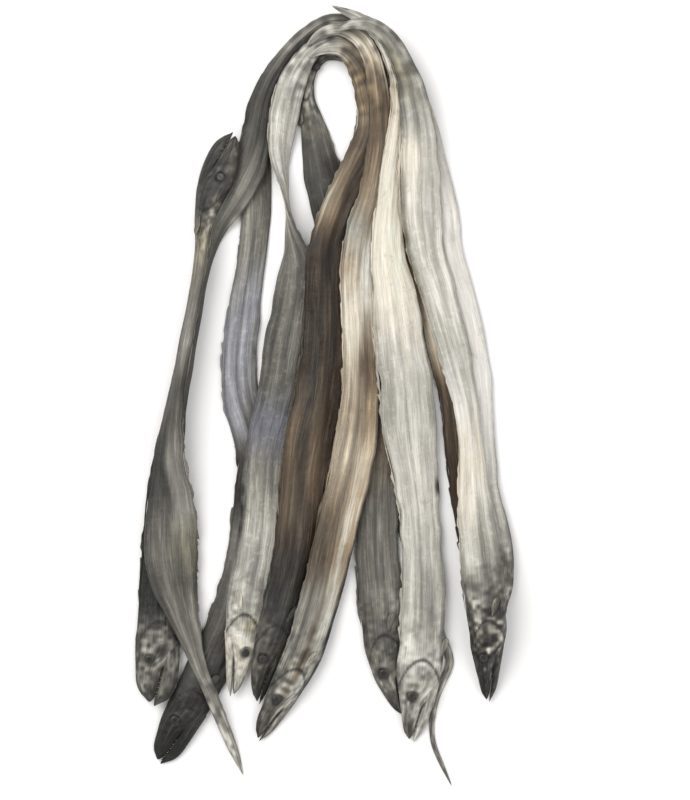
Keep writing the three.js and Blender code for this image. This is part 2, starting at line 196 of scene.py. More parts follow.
# The lowest place across that the skin above the lower jaw reaches: the lip, and behind it the belly.
def lowerEdge(fromSnout, width):
    corner = head["mouthCorner"]
    lip = np.maximum(mouthLine(np.minimum(fromSnout, corner)) + head["lip"], -0.5 * width / mm)
    share = eased(fromSnout, corner - 2, corner + 18)
    return (lip * (1 - share)) / (width / mm) - 0.5 * share


# Where the gill cover ends, in mm from the snout.
def coverEnd(across):
    return head["coverEdge"] - head["coverBow"] * (across + 0.03) ** 2


# The distance to the middle of the eye, in mm.
def offEye(fromSnout, across, width):
    return np.hypot(fromSnout - head["eyeFromSnout"], (across - head["eyeAcross"]) * width / mm)


# Relief of the head in mm, from the distance to the snout in mm and the place across.
def headRelief(fromSnout, across, width):
    onCover = eased(coverEnd(across) - fromSnout, -0.4, 0.9)
    cover = headRise["cover"] * onCover * eased(fromSnout, 36, 52)
    ribs = headRise["ribs"] * np.sin((across + 0.1) * 62 + fromSnout * 0.12)
    ribs = ribs * onCover * eased(fromSnout, 40, 50)
    cheekLine = headRise["cheekLine"] * bump(fromSnout, 45 - 60 * (across + 0.12) ** 2, 1.0)
    cheekLine *= (across < 0.28)
    lowerLine = headRise["lowerLine"] * bump(across, -0.3 + 0.0025 * (fromSnout - 30), 0.022)
    lowerLine = lowerLine * eased(fromSnout, 26, 32) * (1 - eased(fromSnout, 50, 58))
    off, radius = offEye(fromSnout, across, width), head["eyeRadius"]
    socket = headRise["socketRim"] * bump(off, radius + 1.0, 0.9)
    socket += headRise["socket"] * (1 - eased(off, 2.0, radius + 0.4))
    cheek = headRise["cheek"] * bump(fromSnout, 22, 9) * bump(across, 0.03, 0.13)
    brow = headRise["brow"] * bump(across, 0.35, 0.05)
    brow = brow * eased(fromSnout, 8, 20) * (1 - eased(fromSnout, 50, 62))
    aboveLip = (across - lowerEdge(fromSnout, width)) * width / mm
    lip = headRise["lip"] * bump(aboveLip, 1.2, 0.8) * (1 - eased(fromSnout, 24, 32))
    nostril = headRise["nostril"] * bump(np.hypot(fromSnout - 22, (across - 0.22) * width / mm), 0, 1.0)
    return cover + ribs + cheekLine + lowerLine + socket + cheek + brow + nostril + lip


# The rows of the skin along the fish: closer together on the head than on the body.
def rowPlace(spine, u):
    split = skinMesh["headRows"] / skinMesh["rows"]
    tip = spine["length"] - head["snoutTip"] * mm
    neck = spine["length"] - skinMesh["headLength"]
    return np.where(u < 1 - split, u / (1 - split) * neck, neck + (u - 1 + split) / split * (tip - neck))


# colours of dried skin that the fish share, as seen in daylight
tones = {
    "ivory": (238, 230, 212), "cream": (224, 217, 201), "bone": (204, 200, 190), "silver": (182, 180, 171),
    "pewter": (153, 152, 145), "mist": (147, 148, 155), "ash": (124, 122, 115), "olive": (127, 122, 106),
    "slate": (100, 98, 92), "coal": (70, 68, 62), "soot": (42, 41, 38), "chalk": (228, 225, 218),
    "wheat": (170, 156, 137), "sand": (194, 183, 164), "oak": (132, 117, 95), "bark": (98, 83, 65),
    "coffee": (74, 58, 40), "umber": (60, 46, 30), "pitch": (20, 20, 19), "dusk": (108, 109, 120),
}
# the edge, groove, cover, lip and eye strengths set how much painted shade darkens the skin
skinTone = {"gain": 1.36, "contrast": 1.23, "brightest": 0.88, "purity": 0.84, "drift": 0.014,
            "streak": 0.13, "speck": 0.38, "blotch": 0.3, "edge": 0.16, "grooveShade": 0.16,
            "tailBlotch": 0.3, "coverShade": 0.5, "lipShade": 0.55, "eyeShade": 0.45}


# The colour of the skin at a place: dried tones in lanes along back and belly, marks, streaks and a mottled
# head. A few marks are painted highlights and painted shade, and painted shade darkens both edges, the
# crease on the ridge, the skin behind the gill cover, the lips and the rims of the eye sockets.
def toneAt(fish, spine, along, across, v):
    seed = fish["seed"] * 100 + 20
    share = along / spine["length"]
    fromSnout = toSnout(spine, along)
    width = spineAt(spine, along)[3]
    drift = skinTone["drift"] * chance(seed, share, v, 14, 5)

    def lane(stops):
        shades = np.array([tones[tone] for tone in stops.values()])
        return np.stack([np.interp(share + drift, list(stops), shades[:, c]) for c in range(3)], axis=1)

    back, belly = lane(fish["back"]), lane(fish["belly"])
    split = across + 0.16 * chance(seed + 1, share, v, 12, 4) + 0.07 * chance(seed + 2, share, v, 30, 22)
    colour = belly + (back - belly) * eased(split, -0.2, 0.18)[:, None]
    grey = colour.mean(axis=1, keepdims=True)
    colour = grey + (colour - grey) * skinTone["purity"]
    ragged = 1 + 0.7 * chance(seed + 3, share, v, 70, 14)
    for place, side, length, spread, tone, strength in fish["marks"]:
        weight = np.clip(strength * bump(share, place, length) * bump(across, side, spread) * ragged, 0, 1)
        colour = colour + (np.array(tones[tone]) - colour) * weight[:, None]

    onHead = (1 - eased(fromSnout, 56, 110)) * fish["mottle"]
    onTail = 1 - eased(share, 0.12, 0.22)
    streak = chance(seed + 4, share, v, 6, 26) + 0.7 * chance(seed + 5, share, v, 16, 34)
    gain = 1 + skinTone["streak"] * (0.6 + fish["streaks"]) * streak * (1 - 0.5 * np.clip(onHead, 0, 1))
    gain *= 1 + skinTone["blotch"] * (0.1 + onHead) * chance(seed + 6, share, v, 55, 9)
    gain *= 1 + skinTone["speck"] * onHead * chance(seed + 7, share, v, 170, 26)
    gain *= 1 + skinTone["tailBlotch"] * onTail * chance(seed + 8, share, v, 110, 8)
    # painted shade: darker along both thin edges where the fish lie on each other, in the crease on the
    # ridge, behind the gill cover, along the lips and round the eye sockets
    gain *= 1 - skinTone["edge"] * eased(np.abs(2 * across), 0.74, 1.0)
    gain *= 1 - skinTone["grooveShade"] * bump(across, fish["ridge"], 0.035) * eased(fromSnout, 56, 110)
    gain *= 1 - skinTone["coverShade"] * bump(fromSnout, coverEnd(across) + 1.2, 1.3)
    aboveLip = (across - lowerEdge(fromSnout, width)) * width / mm
    gain *= 1 - skinTone["lipShade"] * bump(aboveLip, 0, 1.0) * (1 - eased(fromSnout, 26, 32))
    ring = bump(offEye(fromSnout, across, width), head["eyeRadius"] + 0.2, 1.2)
    gain *= 1 - skinTone["eyeShade"] * ring
    shown = np.clip(colour * gain[:, None], 8, 252) / 255
    lit = skinTone["gain"] * ((shown + 0.055) / 1.055) ** (2.4 * skinTone["contrast"])
    lit /= np.maximum(1, lit.max(axis=1, keepdims=True) / skinTone["brightest"])
    return np.concatenate([lit, np.ones((len(lit), 1))], axis=1)


body = {"girth": 0.97, "roof": 0.5, "crease": 0.2, "cavity": 0.4, "furrow": 0.75, "ripple": 0.35,
        "pucker": 0.2, "crumple": 0.9, "wander": 1.0, "wave": 0.9}


# The skin of a whole fish, with u from the tail to the snout and v round the body.
def bodyPoints(fish, spine, u, v):
    seed = fish["seed"] * 100
    along = rowPlace(spine, u)
    share = along / spine["length"]
    fromSnout = toSnout(spine, along)
    _, _, out, width, top, low = spineAt(spine, along)
    side = np.sin(2 * np.pi * v)
    lowest = lowerEdge(fromSnout, width)
    across = lowest + (0.5 - lowest) * (0.5 - 0.5 * np.cos(2 * np.pi * v))

    # the section is part lens, part roof with its ridge a little off the middle
    onBody = eased(fromSnout, 58, 76)
    ridge = fish["ridge"] + 0.12 * chance(seed, share, v * 0, 7, 2)
    slope = np.abs(across - ridge) / np.where(across < ridge, 0.5 + ridge, 0.5 - ridge)
    roof = np.clip(1.06 - np.sqrt(slope ** 2 + 0.012), 0, 1)
    roofShare = body["roof"] * (0.25 + 0.75 * onBody)
    profile = np.abs(side) * (1 - roofShare) + roof * roofShare
    crease = body["crease"] * bump(across, ridge - 0.07, 0.035) * onBody
    cavity = body["cavity"] * bump(across, -0.27, 0.12) * eased(fromSnout, 62, 85)
    cavity *= (1 - eased(fromSnout, 190, 250))
    half = (top - low) / 2 * profile * (1 - crease - cavity)

    size = np.clip(width / (30 * mm), 0.15, 1.2)
    furrow = body["furrow"] * (0.5 - 2 * np.abs(chance(seed + 1, share, v, 6, 14)))
    furrow += 0.6 * body["furrow"] * chance(seed + 2, share, v, 20, 34)
    ripple = body["ripple"] * chance(seed + 3, share, v, 60, 16)
    pucker = body["pucker"] * chance(seed + 4, share, v, 170, 9) * (0.5 + 1.5 * np.abs(2 * across) ** 3)
    onTail = 1 - eased(share, 0.1, 0.2)
    crumple = body["crumple"] * chance(seed + 7, share, v, 120, 8) * onTail
    relief = (furrow + ripple + pucker + crumple) * (0.3 + 0.7 * onBody) * size
    forms = headRelief(fromSnout, across, width) * (1 - eased(fromSnout, 62, 70))
    relief += forms * np.clip(size, 0.3, 1)

    # the thin edges wander, wave and curl up from the table
    onBack = (across > 0) * 0.5
    edge = np.abs(2 * across)
    wander = body["wander"] * mm * chance(seed + 5, share, onBack, 40, 2) * size * edge ** 2
    wave = body["wave"] * chance(seed + 6, share, onBack, 24, 2) * edge ** 2
    curl = fish["curl"] * edge ** 3 * np.sign(out[:, 2])
    ends = roundEnds(u, 0.004, 0.018)
    lift = np.sign(side) * (half + np.abs(side) ** 0.6 * relief * mm)
    lift = (lift + (wave + curl) * mm * size * onBody) * ends
    centre = across * ends + (1 - ends) * (lowest + 0.5) / 2
    reach = centre * body["girth"] + wander * ends / np.maximum(width, 1 * mm)
    return onFish(spine, along, reach, lift), toneAt(fish, spine, along, across, v)


def finished(name, bm):
    mesh = bpy.data.meshes.new(name)
    bm.to_mesh(mesh)
    bm.free()
    mesh.shade_smooth()
    piece = bpy.data.objects.new(name, mesh)
    scene.collection.objects.link(piece)
    return piece


uvLength = 0.5  # metres of fish to one unit of the skin's UV map


# A closed skin from a grid that the given function lays out: its seam and its two ends are merged.
# Each corner's UV map says how far along the fish it is and how far round its own skin.
def skinSheet(name, size, fish, spine, layOut, placeOf):
    bm = bmesh.new()
    bm.loops.layers.uv.new("skin")
    tone = bm.verts.layers.float_color.new("tone")
    bmesh.ops.create_grid(bm, x_segments=size["rows"], y_segments=size["around"], size=0.5,
                          calc_uvs=True)
    flat = np.array([vert.co[:] for vert in bm.verts]) + 0.5
    for vert, point, colour in zip(bm.verts, *layOut(fish, spine, flat[:, 0], flat[:, 1])):
        vert.co = point
        vert[tone] = colour
    bmesh.ops.remove_doubles(bm, verts=bm.verts, dist=0.002 * mm)
    bmesh.ops.recalc_face_normals(bm, faces=bm.faces)
    piece = finished(name, bm)
    corners = piece.data.uv_layers["skin"].data
    uv = np.empty(2 * len(corners))
    corners.foreach_get("uv", uv)
    uv[0::2] = placeOf(spine, uv[0::2]) / uvLength
    corners.foreach_set("uv", uv)
    return piece


def dress(piece, material, node=None):
    piece.data.materials.append(material)
    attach(piece, "root")
    if node:
        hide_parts(node)


# Links or sets the inputs of a node, a shader or a group's output.
def feed(tree, inputs, values):
    for socket, value in values.items():
        if isinstance(value, bpy.types.NodeSocket):
            tree.links.new(value, inputs[socket])
        else:
            inputs[socket].default_value = value


def newNode(tree, kind, values=None, **settings):
    node = tree.nodes.new(kind)
    for key, value in settings.items():
        setattr(node, key, value)
    feed(tree, node.inputs, values or {})
    return node


def linear(tone):
    return [((c / 255 + 0.055) / 1.055) ** 2.4 for c in tone] + [1]


def combined(tree, operation, a, b):
    return newNode(tree, "ShaderNodeMath", {0: a, 1: b}, operation=operation).outputs[0]


def times(tree, a, b):
    return combined(tree, "MULTIPLY", a, b)


def plus(tree, a, b):
    return combined(tree, "ADD", a, b)


def ranged(tree, value, low, high, toLow=0.0, toHigh=1.0):
    values = {"Value": value, "From Min": low, "From Max": high, "To Min": toLow, "To Max": toHigh}
    return newNode(tree, "ShaderNodeMapRange", values, interpolation_type="SMOOTHSTEP").outputs["Result"]


def mixed(tree, factor, a, b, blend="MIX"):
    node = newNode(tree, "ShaderNodeMix", {0: factor, 6: a, 7: b}, data_type="RGBA", blend_type=blend,
                   clamp_result=True)
    return node.outputs[2]


def newGroup(name, inputs, outputs):
    group = bpy.data.node_groups.new(name, "ShaderNodeTree")
    for title, kind in inputs.items():
        group.interface.new_socket(title, in_out="INPUT", socket_type=kind)
    for title in outputs:
        group.interface.new_socket(title, in_out="OUTPUT", socket_type="NodeSocketFloat")
    return group, group.nodes.new("NodeGroupInput").outputs, group.nodes.new("NodeGroupOutput").inputs


def newMaterial(name):
    material = bpy.data.materials.new(name)
    material.use_nodes = True
    return material, material.node_tree, material.node_tree.nodes["Principled BSDF"].inputs


def objectPlace(tree):
    return newNode(tree, "ShaderNodeTexCoord").outputs["Object"]


def uvPlace(tree, layer):
    return newNode(tree, "ShaderNodeUVMap", uv_map=layer).outputs["UV"]


def bumped(tree, look, height):
    values = {"Strength": look["bump"], "Distance": look["bumpHeight"], "Height": height}
    return newNode(tree, "ShaderNodeBump", values).outputs["Normal"]


# Streaks that run along a fish and wrinkles across it, from its skin's own UV map.
def buildStreaks():
    group, given, result = newGroup(
        "dryStreaks", {"UV": "NodeSocketVector", "Seed": "NodeSocketFloat"},
        ("Broad", "Fine", "Wrinkle", "Rays"))
    parts = newNode(group, "ShaderNodeSeparateXYZ", {0: given["UV"]}).outputs
    across = times(group, combined(group, "PINGPONG", parts["Y"], 0.5), 2.0)

    def layer(cellsAlong, cellsAcross, detail, shift):
        along = times(group, parts["X"], cellsAlong)
        aside = times(group, across, cellsAcross)
        seed = plus(group, given["Seed"], shift)
        place = newNode(group, "ShaderNodeCombineXYZ", {"X": along, "Y": aside, "Z": seed}).outputs[0]
        values = {"Vector": place, "Scale": 1.0, "Detail": detail, "Roughness": 0.6}
        return newNode(group, "ShaderNodeTexNoise", values).outputs["Fac"]

    feed(group, result, {
        "Broad": ranged(group, layer(8, 11, 3, 0), 0.36, 0.64),
        "Fine": ranged(group, layer(26, 46, 4, 7.3), 0.32, 0.68),
        "Wrinkle": ranged(group, layer(170, 9, 3, 3.1), 0.3, 0.7)})
    # the bones of the fins show as slanting ridges beside both edges
    slant = plus(group, times(group, parts["X"], 165.0), times(group, across, 9.0))
    bend = plus(group, slant, times(group, layer(30, 4, 2, 5.9), 3.0))
    ridges = combined(group, "SINE", times(group, bend, 2 * math.pi), 0.0)
    beside = combined(group, "ABSOLUTE", combined(group, "SUBTRACT", across, 0.5), 0.0)
    rays = times(group, ranged(group, beside, 0.3, 0.42), ranged(group, ridges, -1.0, 1.0))
    group.links.new(rays, result["Rays"])
    return group


# Blotches and flakes of a dried surface, from where it lies.
def buildPatches():
    group, given, result = newGroup(
        "dryPatches", {"Vector": "NodeSocketVector"}, ("Blotch", "Flake", "Stain", "Grain"))

    def layer(scale, detail, roughness):
        values = {"Vector": given["Vector"], "Scale": scale, "Detail": detail, "Roughness": roughness}
        return newNode(group, "ShaderNodeTexNoise", values).outputs["Fac"]

    feed(group, result, {
        "Blotch": ranged(group, layer(55, 4, 0.6), 0.42, 0.64),
        "Flake": ranged(group, layer(190, 6, 0.75), 0.5, 0.62),
        "Stain": ranged(group, layer(130, 6, 0.7), 0.56, 0.7),
        "Grain": layer(900, 3, 0.6)})
    return group


streaksGroup = buildStreaks()
patchesGroup = buildPatches()
skinLook = {"roughness": 0.42, "oilShine": -0.12, "fineRough": 0.2, "metal": 0.35, "specular": 0.3,
            "coat": 0.08, "coatRoughness": 0.28, "bump": 0.6, "bumpHeight": 0.6 * mm,
            "dark": (0.42, 0.39, 0.35, 1), "light": (2.2, 2.14, 2.04, 1), "oily": (0.85, 0.72, 0.56, 1),
            "bloom": (214, 210, 200), "bloomShare": 0.13, "darkStreak": 0.55, "paleStreak": 0.75,
            "oilShare": 0.6, "silverShare": 0.5, "shade": 0.36, "stain": 0.3}


# The skin of one fish: its tones, painted shade and highlights among them, with dark and pale streaks, oil,
# silvery flakes and stains.
def skinMaterial(name, fish):
    material, tree, shader = newMaterial(name + "_skin")
    colour = newNode(tree, "ShaderNodeAttribute", attribute_name="tone").outputs["Color"]
    values = {"Vector": objectPlace(tree)}
    patches = newNode(tree, "ShaderNodeGroup", values, node_tree=patchesGroup).outputs
    values = {"UV": uvPlace(tree, "skin"), "Seed": fish["seed"] * 3.7}
    streaks = newNode(tree, "ShaderNodeGroup", values, node_tree=streaksGroup).outputs
    broad, fine, wrinkle, rays = (streaks[key] for key in ("Broad", "Fine", "Wrinkle", "Rays"))
    blotch, flake, stain, grain = (patches[key] for key in ("Blotch", "Flake", "Stain", "Grain"))

    dark = mixed(tree, 1.0, colour, skinLook["dark"], "MULTIPLY")
    light = mixed(tree, 1.0, colour, skinLook["light"], "MULTIPLY")
    light = mixed(tree, skinLook["bloomShare"], light, linear(skinLook["bloom"]))
    colour = mixed(tree, times(tree, broad, fish["streaks"] * skinLook["darkStreak"]), colour, dark)
    pale = times(tree, combined(tree, "SUBTRACT", 1.0, broad), fine)
    colour = mixed(tree, times(tree, pale, fish["streaks"] * skinLook["paleStreak"]), colour, light)
    oily = mixed(tree, 1.0, colour, skinLook["oily"], "MULTIPLY")
    colour = mixed(tree, times(tree, blotch, fish["oil"] * skinLook["oilShare"]), colour, oily)
    silver = times(tree, flake, fish["silvering"])
    colour = mixed(tree, times(tree, silver, skinLook["silverShare"]), colour, light)
    shade = times(tree, combined(tree, "SUBTRACT", 1.0, fine), skinLook["shade"])
    shade = plus(tree, shade, times(tree, stain, skinLook["stain"]))
    colour = mixed(tree, shade, colour, dark)

    rough = times(tree, blotch, skinLook["oilShine"])
    rough = plus(tree, rough, times(tree, fine, skinLook["fineRough"]))
    height = times(tree, fine, 0.6)
    for part, share in ((wrinkle, 0.4), (rays, 0.5), (flake, 0.25), (grain, 0.35), (broad, -0.3)):
        height = plus(tree, height, times(tree, part, share))
    feed(tree, shader, {
        "Base Color": colour, "Roughness": plus(tree, rough, skinLook["roughness"]),
        "Metallic": times(tree, silver, skinLook["metal"]), "Specular IOR Level": skinLook["specular"],
        "Coat Weight": skinLook["coat"], "Coat Roughness": skinLook["coatRoughness"],
        "Normal": bumped(tree, skinLook, height)})
    return material


finLook = {"roughness": 0.5, "smooth": 0.4, "bump": 0.5, "bumpHeight": 0.2 * mm, "specular": 0.3,
           "pale": (200, 192, 174), "paleShare": 0.18, "dark": (0.66, 0.62, 0.56, 1), "flake": 0.3}


# Thin fins: the tone of the skin beside them, with fine rays along or round the fin's own UV map.
def finMaterial(name, way, rayCount):
    material, tree, shader = newMaterial(name)
    values = {"Vector": objectPlace(tree)}
    patches = newNode(tree, "ShaderNodeGroup", values, node_tree=patchesGroup).outputs
    colour = newNode(tree, "ShaderNodeAttribute", attribute_name="tone").outputs["Color"]
    turn = newNode(tree, "ShaderNodeSeparateXYZ", {0: uvPlace(tree, "skin")}).outputs[way]
    turn = times(tree, turn, rayCount * 2 * math.pi)
    turn = plus(tree, turn, times(tree, patches["Blotch"], 2.0))
    rays = ranged(tree, combined(tree, "SINE", turn, 0.0), -0.4, 0.9)
    pale = mixed(tree, finLook["paleShare"], colour, linear(finLook["pale"]))
    dark = mixed(tree, 1.0, colour, finLook["dark"], "MULTIPLY")
    colour = mixed(tree, rays, dark, pale)
    colour = mixed(tree, times(tree, patches["Flake"], finLook["flake"]), colour, dark)
    feed(tree, shader, {
        "Base Color": colour, "Specular IOR Level": finLook["specular"],
        "Roughness": ranged(tree, rays, 0.0, 1.0, finLook["roughness"], finLook["smooth"]),
        "Normal": bumped(tree, finLook, rays)})
    return material


# A dull material between two tones, for teeth and for the floor.
def plainMaterial(name, look):
    material, tree, shader = newMaterial(name)
    values = {"Vector": objectPlace(tree), "Scale": look["scale"], "Detail": 4.0, "Roughness": 0.6}
    noise = newNode(tree, "ShaderNodeTexNoise", values).outputs["Fac"]
    share = ranged(tree, noise, 0.35, 0.65)
    rough = look["roughness"]
    feed(tree, shader, {
        "Base Color": mixed(tree, share, linear(look["low"]), linear(look["high"])),
        "Roughness": ranged(tree, noise, 0.2, 0.8, rough + 0.08, rough - 0.08),
        "Normal": bumped(tree, look, noise)})
    return material


eyeLook = {"pupil": (22, 21, 20), "iris": (54, 52, 47), "roughness": (0.32, 0.5), "specular": 0.35,
           "coat": 0.1, "coatRoughness": 0.25, "bump": 0.5, "bumpHeight": 0.3 * mm}


# A shrunken eye: a dark pupil in a dull, uneven ring.
def eyeMaterial(name):
    material, tree, shader = newMaterial(name)
    height = newNode(tree, "ShaderNodeSeparateXYZ", {0: uvPlace(tree, "eye")}).outputs["Y"]
    values = {"Vector": objectPlace(tree), "Scale": 700.0}
    noise = newNode(tree, "ShaderNodeTexNoise", values).outputs["Fac"]
    height = plus(tree, height, times(tree, combined(tree, "SUBTRACT", noise, 0.5), 0.3))
    ring = times(tree, ranged(tree, height, 0.55, 0.66), ranged(tree, height, 0.86, 0.76))
    feed(tree, shader, {
        "Base Color": mixed(tree, ring, linear(eyeLook["pupil"]), linear(eyeLook["iris"])),
        "Roughness": ranged(tree, noise, 0.3, 0.7, *eyeLook["roughness"]),
        "Specular IOR Level": eyeLook["specular"], "Coat Weight": eyeLook["coat"],
        "Coat Roughness": eyeLook["coatRoughness"], "Normal": bumped(tree, eyeLook, noise)})
    return material


fin = {"rows": 420, "around": 8, "from": 64, "tailFree": 0.03, "height": 4.4, "pleat": 0.5,
       "thickness": 0.3 * mm}


def finPlace(spine, u):
    bare = fin["tailFree"]
    return bare * spine["length"] + u * ((1 - bare) * spine["length"] - fin["from"] * mm)


# The fin along the back: ragged, pleated and folded to one side or the other.
def finPoints(fish, spine, u, v):
    seed = fish["seed"] * 100 + 40
    along = finPlace(spine, u)
    width = spineAt(spine, along)[3]
    size = np.clip(width / (30 * mm), 0.2, 1.1)
    up = 1 - np.abs(2 * v - 1)
    ends = eased(u, 0, 0.05) * eased(1 - u, 0, 0.03)
    torn = 0.5 + 0.5 * chance(seed, u, v * 0, 110, 2)
    notch = 1 - 0.5 * eased(chance(seed + 1, u, v * 0, 60, 2), 0.45, 0.6)
    tall = fin["height"] * mm * size * (0.35 + 0.65 * torn) * notch * ends * up
    fold = 1.1 * chance(seed + 2, u, v * 0, 16, 2)
    pleats = fin["pleat"] * mm * chance(seed + 3, u, v * 0, 140, 2) * up * size * ends
    across = 0.5 * body["girth"] - 0.02 + tall * np.cos(fold) * 0.6 / np.maximum(width, 4 * mm)
    lift = tall * np.sin(fold) * 0.5 + pleats + fin["thickness"] / 2 * np.sin(2 * np.pi * v) * size * ends
    colours = toneAt(fish, spine, along, 0.4 + 0 * v, v)
    return onFish(spine, along - tall * 0.8, across, lift), colours


jaw = {"rows": 80, "around": 24, "from": 50, "to": 0.3, "thickness": 0.78, "overlap": 0.6}


def jawPlace(spine, u):
    return spine["length"] - (jaw["from"] + u * (jaw["to"] - jaw["from"])) * mm


# The lower jaw: its edge follows the mouth's line, and behind the mouth it lies under the cheek.
def jawPoints(fish, spine, u, v):
    along = jawPlace(spine, u)
    fromSnout = toSnout(spine, along)
    _, _, _, width, top, low = spineAt(spine, along)
    opened = fish["gape"] * np.clip(1 - fromSnout / head["mouthCorner"], 0, 1)
    upper = mouthLine(np.minimum(fromSnout, head["mouthCorner"])) + jaw["overlap"] - opened
    lower = -0.5 * width / mm * body["girth"] - opened * 1.1
    upper = np.maximum(upper, lower + 1.2)
    ends = roundEnds(u, 0.1, 0.08)
    aside = ((upper + lower) / 2 - (upper - lower) / 2 * np.cos(2 * np.pi * v) * ends) / (width / mm)
    wrinkle = 0.16 * mm * chance(fish["seed"] * 100 + 60, u, v, 26, 9)
    under = 1 - 0.4 * eased(fromSnout, 30, 48)
    lift = np.sin(2 * np.pi * v) * ((top - low) / 2 * jaw["thickness"] * under + wrinkle) * ends
    toned = np.clip(aside, -0.44, 0)
    return onFish(spine, along, aside, lift), toneAt(fish, spine, along, toned, v)


sideFin = {"rows": 18, "around": 20, "fromSnout": 62, "across": -0.14, "length": 13, "width": 5,
           "thickness": 0.5 * mm, "stand": 0.5 * mm, "tipLift": 1.2 * mm}


def sideFinPlace(spine, u):
    return spine["length"] - (sideFin["fromSnout"] + u * sideFin["length"]) * mm


# A small fin behind the gill cover, pressed to the skin at its root and lifted at its tip.
def sideFinPoints(fish, spine, u, v, way):
    along = sideFinPlace(spine, u)
    _, _, _, width, top, low = spineAt(spine, along)
    ends = roundEnds(u, 0.06, 0.2)
    span = sideFin["width"] * mm * (0.4 + 0.6 * eased(u, 0, 0.6)) * ends
    aside = -0.5 * np.cos(2 * np.pi * v)
    across = fish.get("finAcross", sideFin["across"]) - 0.12 * u + aside * span / width
    ray = 0.15 * mm * np.sin(aside * 40) * u
    surface = (top - low) / 2 * np.sqrt(np.clip(1 - 4 * across ** 2, 0, 1)) * 0.9
    rise = surface + sideFin["stand"] + (ray + sideFin["tipLift"] * u * u) * ends
    rise += sideFin["thickness"] / 2 * np.sin(2 * np.pi * v) * ends
    colours = toneAt(fish, spine, along, np.clip(across, -0.4, 0.4), v)
    return onFish(spine, along, across, way * rise), colours


# The axes of the fish at one place as a matrix: x to the back, y to the snout, z out of one side.
def axesAt(spine, fromSnout, across, way, lift=0):
    along = np.array([spine["length"] - fromSnout * mm])
    middle, toBack, out, width, top, low = spineAt(spine, along)
    surface = way * (top - low) / 2 * math.sqrt(max(0, 1 - 4 * across ** 2))
    place = Vector(onFish(spine, along, np.array([across]), surface + way * lift * mm)[0])
    z = way * Vector(out[0])
    x = Vector(toBack[0])
    y = z.cross(x)
    return Matrix.Translation(place) @ Matrix((x, y, z)).transposed().to_4x4()


eye = {"segments": 24, "rings": 16, "flatness": 0.4, "depth": -1.0, "pupil": 0.5, "sunk": 0.25 * mm}


# Both eyes: flattened balls in their sockets, each with its middle sunk in.
def eyePair(name, spine):
    bm = bmesh.new()
    bm.loops.layers.uv.new("eye")
    radius = head["eyeRadius"] * mm
    for way in (1, -1):
        place = axesAt(spine, head["eyeFromSnout"], head["eyeAcross"], way, eye["depth"])
        flatten = Matrix.Diagonal((1, 1, eye["flatness"], 1))
        made = bmesh.ops.create_uvsphere(
            bm, u_segments=eye["segments"], v_segments=eye["rings"], radius=radius,
            matrix=place @ flatten, calc_uvs=True)
        sunk = [vert for vert in made["verts"]
                if (place.inverted() @ vert.co).xy.length < radius * eye["pupil"]]
        bmesh.ops.translate(bm, verts=sunk, vec=place.to_3x3() @ Vector((0, 0, -eye["sunk"])))
        bmesh.ops.smooth_vert(bm, verts=made["verts"], factor=0.5,
                              use_axis_x=True, use_axis_y=True, use_axis_z=True)
    return finished(name, bm)


tooth = {"places": [3.2, 6.5, 10, 13.5, 17, 20.5], "length": [3.2, 2.4, 1.9, 1.7, 1.4, 1.1],
         "radius": 0.4, "tip": 0.04, "lowerShift": 1.4, "lowerShare": 0.7, "root": 0.3, "lean": 10}


# Pointed teeth on both sides of the upper and the lower jaw.
def teethRow(name, fish, spine):
    bm = bmesh.new()
    for fromSnout, size in zip(tooth["places"], tooth["length"]):
        for way in (1, -1):
            for row, lean in (("upper", -1), ("lower", 1)):
                forward = fromSnout + (tooth["lowerShift"] if row == "lower" else 0)
                width = spineAt(spine, np.array([spine["length"] - forward * mm]))[3][0] / mm
                opened = fish["gape"] * max(0, 1 - forward / head["mouthCorner"])
                edge = mouthLine(forward) + (head["lip"] if row == "upper" else -0.3 - opened)
                place = axesAt(spine, forward, edge / width, 0.35 * way)
                tall = size * (1 if row == "upper" else tooth["lowerShare"]) * mm
                root = Matrix.Translation((0, 0, tall / 2 - tooth["root"] * mm))
                stand = Matrix.Rotation(lean * math.pi / 2, 4, "Y") @ root
                aslant = Matrix.Rotation(math.radians(tooth["lean"] * way), 4, "Z")
                bmesh.ops.create_cone(
                    bm, cap_ends=True, segments=8, radius1=tooth["radius"] * mm,
                    radius2=tooth["tip"] * mm, depth=tall, matrix=place @ aslant @ stand)
    return finished(name, bm)


boneLook = {"low": (196, 186, 162), "high": (224, 216, 196), "scale": 400.0, "roughness": 0.35,
            "bump": 0.4, "bumpHeight": 0.05 * mm}
toothBone = plainMaterial("toothBone", boneLook)
backMembrane = finMaterial("backMembrane", "X", 340)
sideMembrane = finMaterial("sideMembrane", "Y", 16)
darkEye = eyeMaterial("darkEye")

